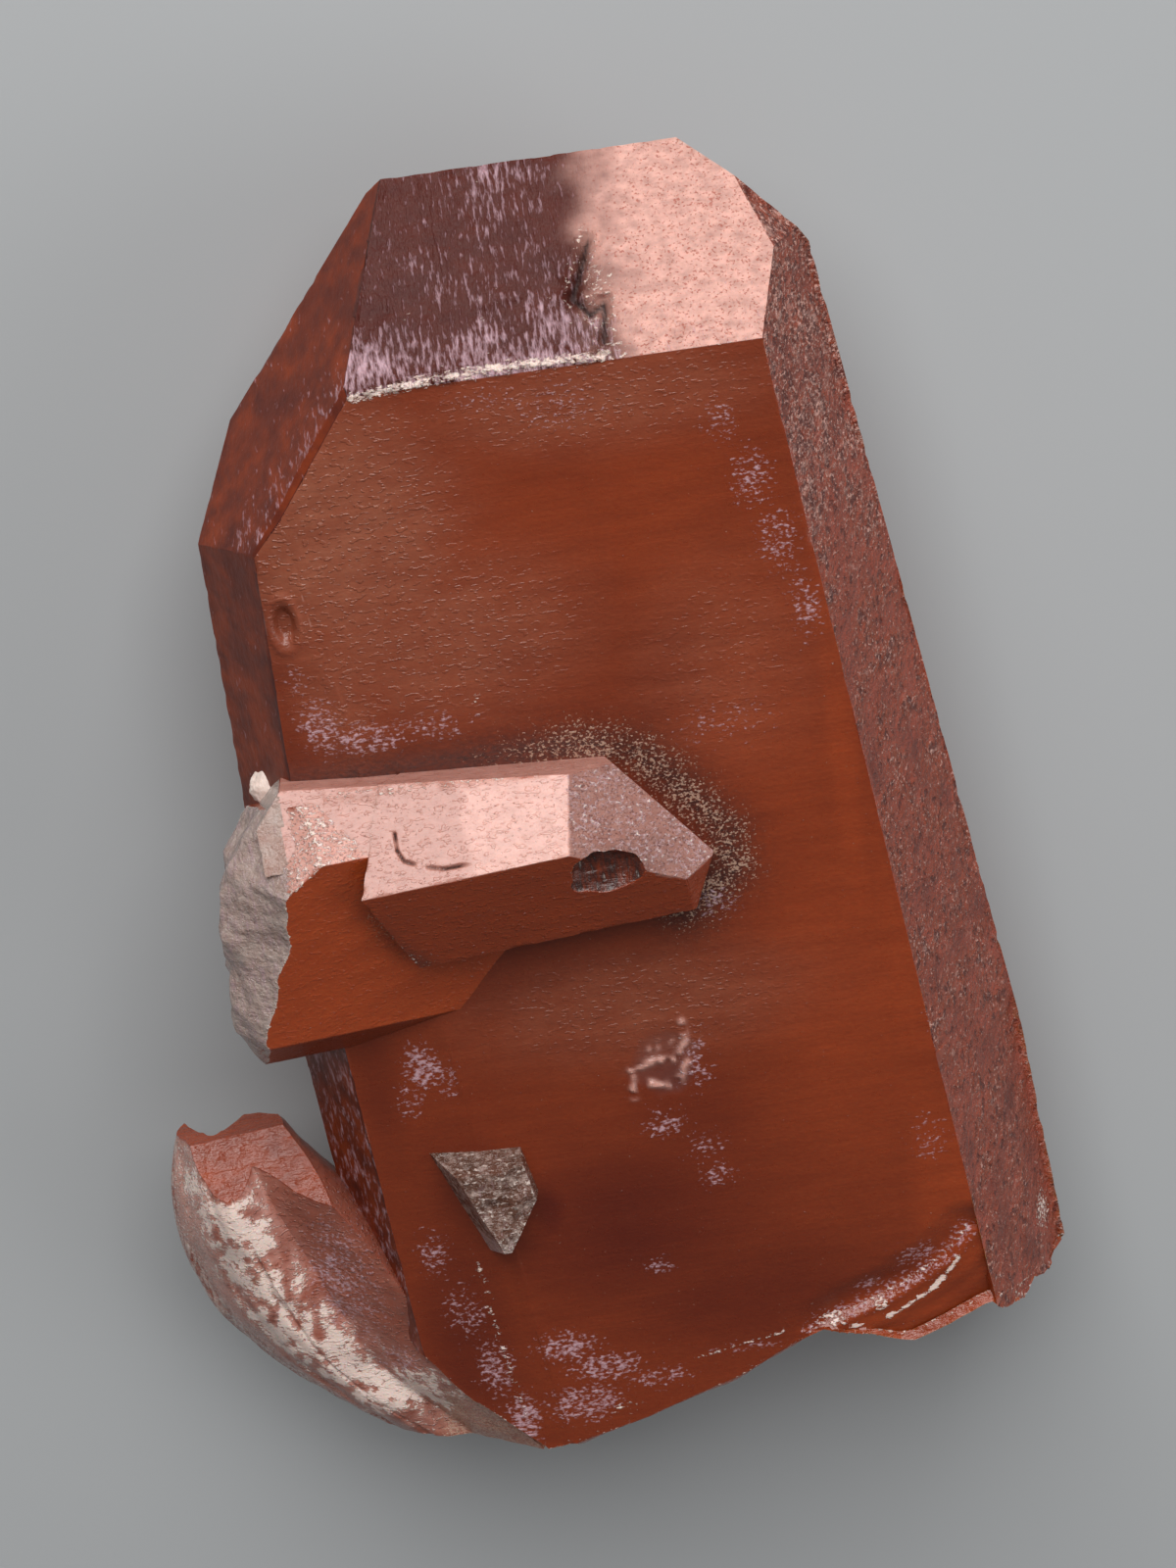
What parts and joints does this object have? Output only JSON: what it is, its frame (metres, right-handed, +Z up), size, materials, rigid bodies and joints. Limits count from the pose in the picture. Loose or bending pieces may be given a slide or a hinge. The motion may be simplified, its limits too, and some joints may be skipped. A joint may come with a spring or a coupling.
{
  "type": "quartz crystal cluster",
  "caption": "Rust-red quartz crystal with a faceted tip and broken base, a smaller crystal grown across its front, and a broken side crystal, stub and splinter.",
  "frame": {"origin": "on the flat back face that the crystal rests on, near the middle of the broad crystal", "axes": "+Y along the broad crystal toward its tip, +X to the right across its front face, +Z up, out of the front face"},
  "size_m": [0.0505, 0.0741, 0.0223],
  "materials": {
    "quartz": "satin, rust red and cloudy, with etched and frosted patches"
  },
  "bodies": {
    "root": {"quartz_cluster": "quartz"}
  },
  "joints": []
}
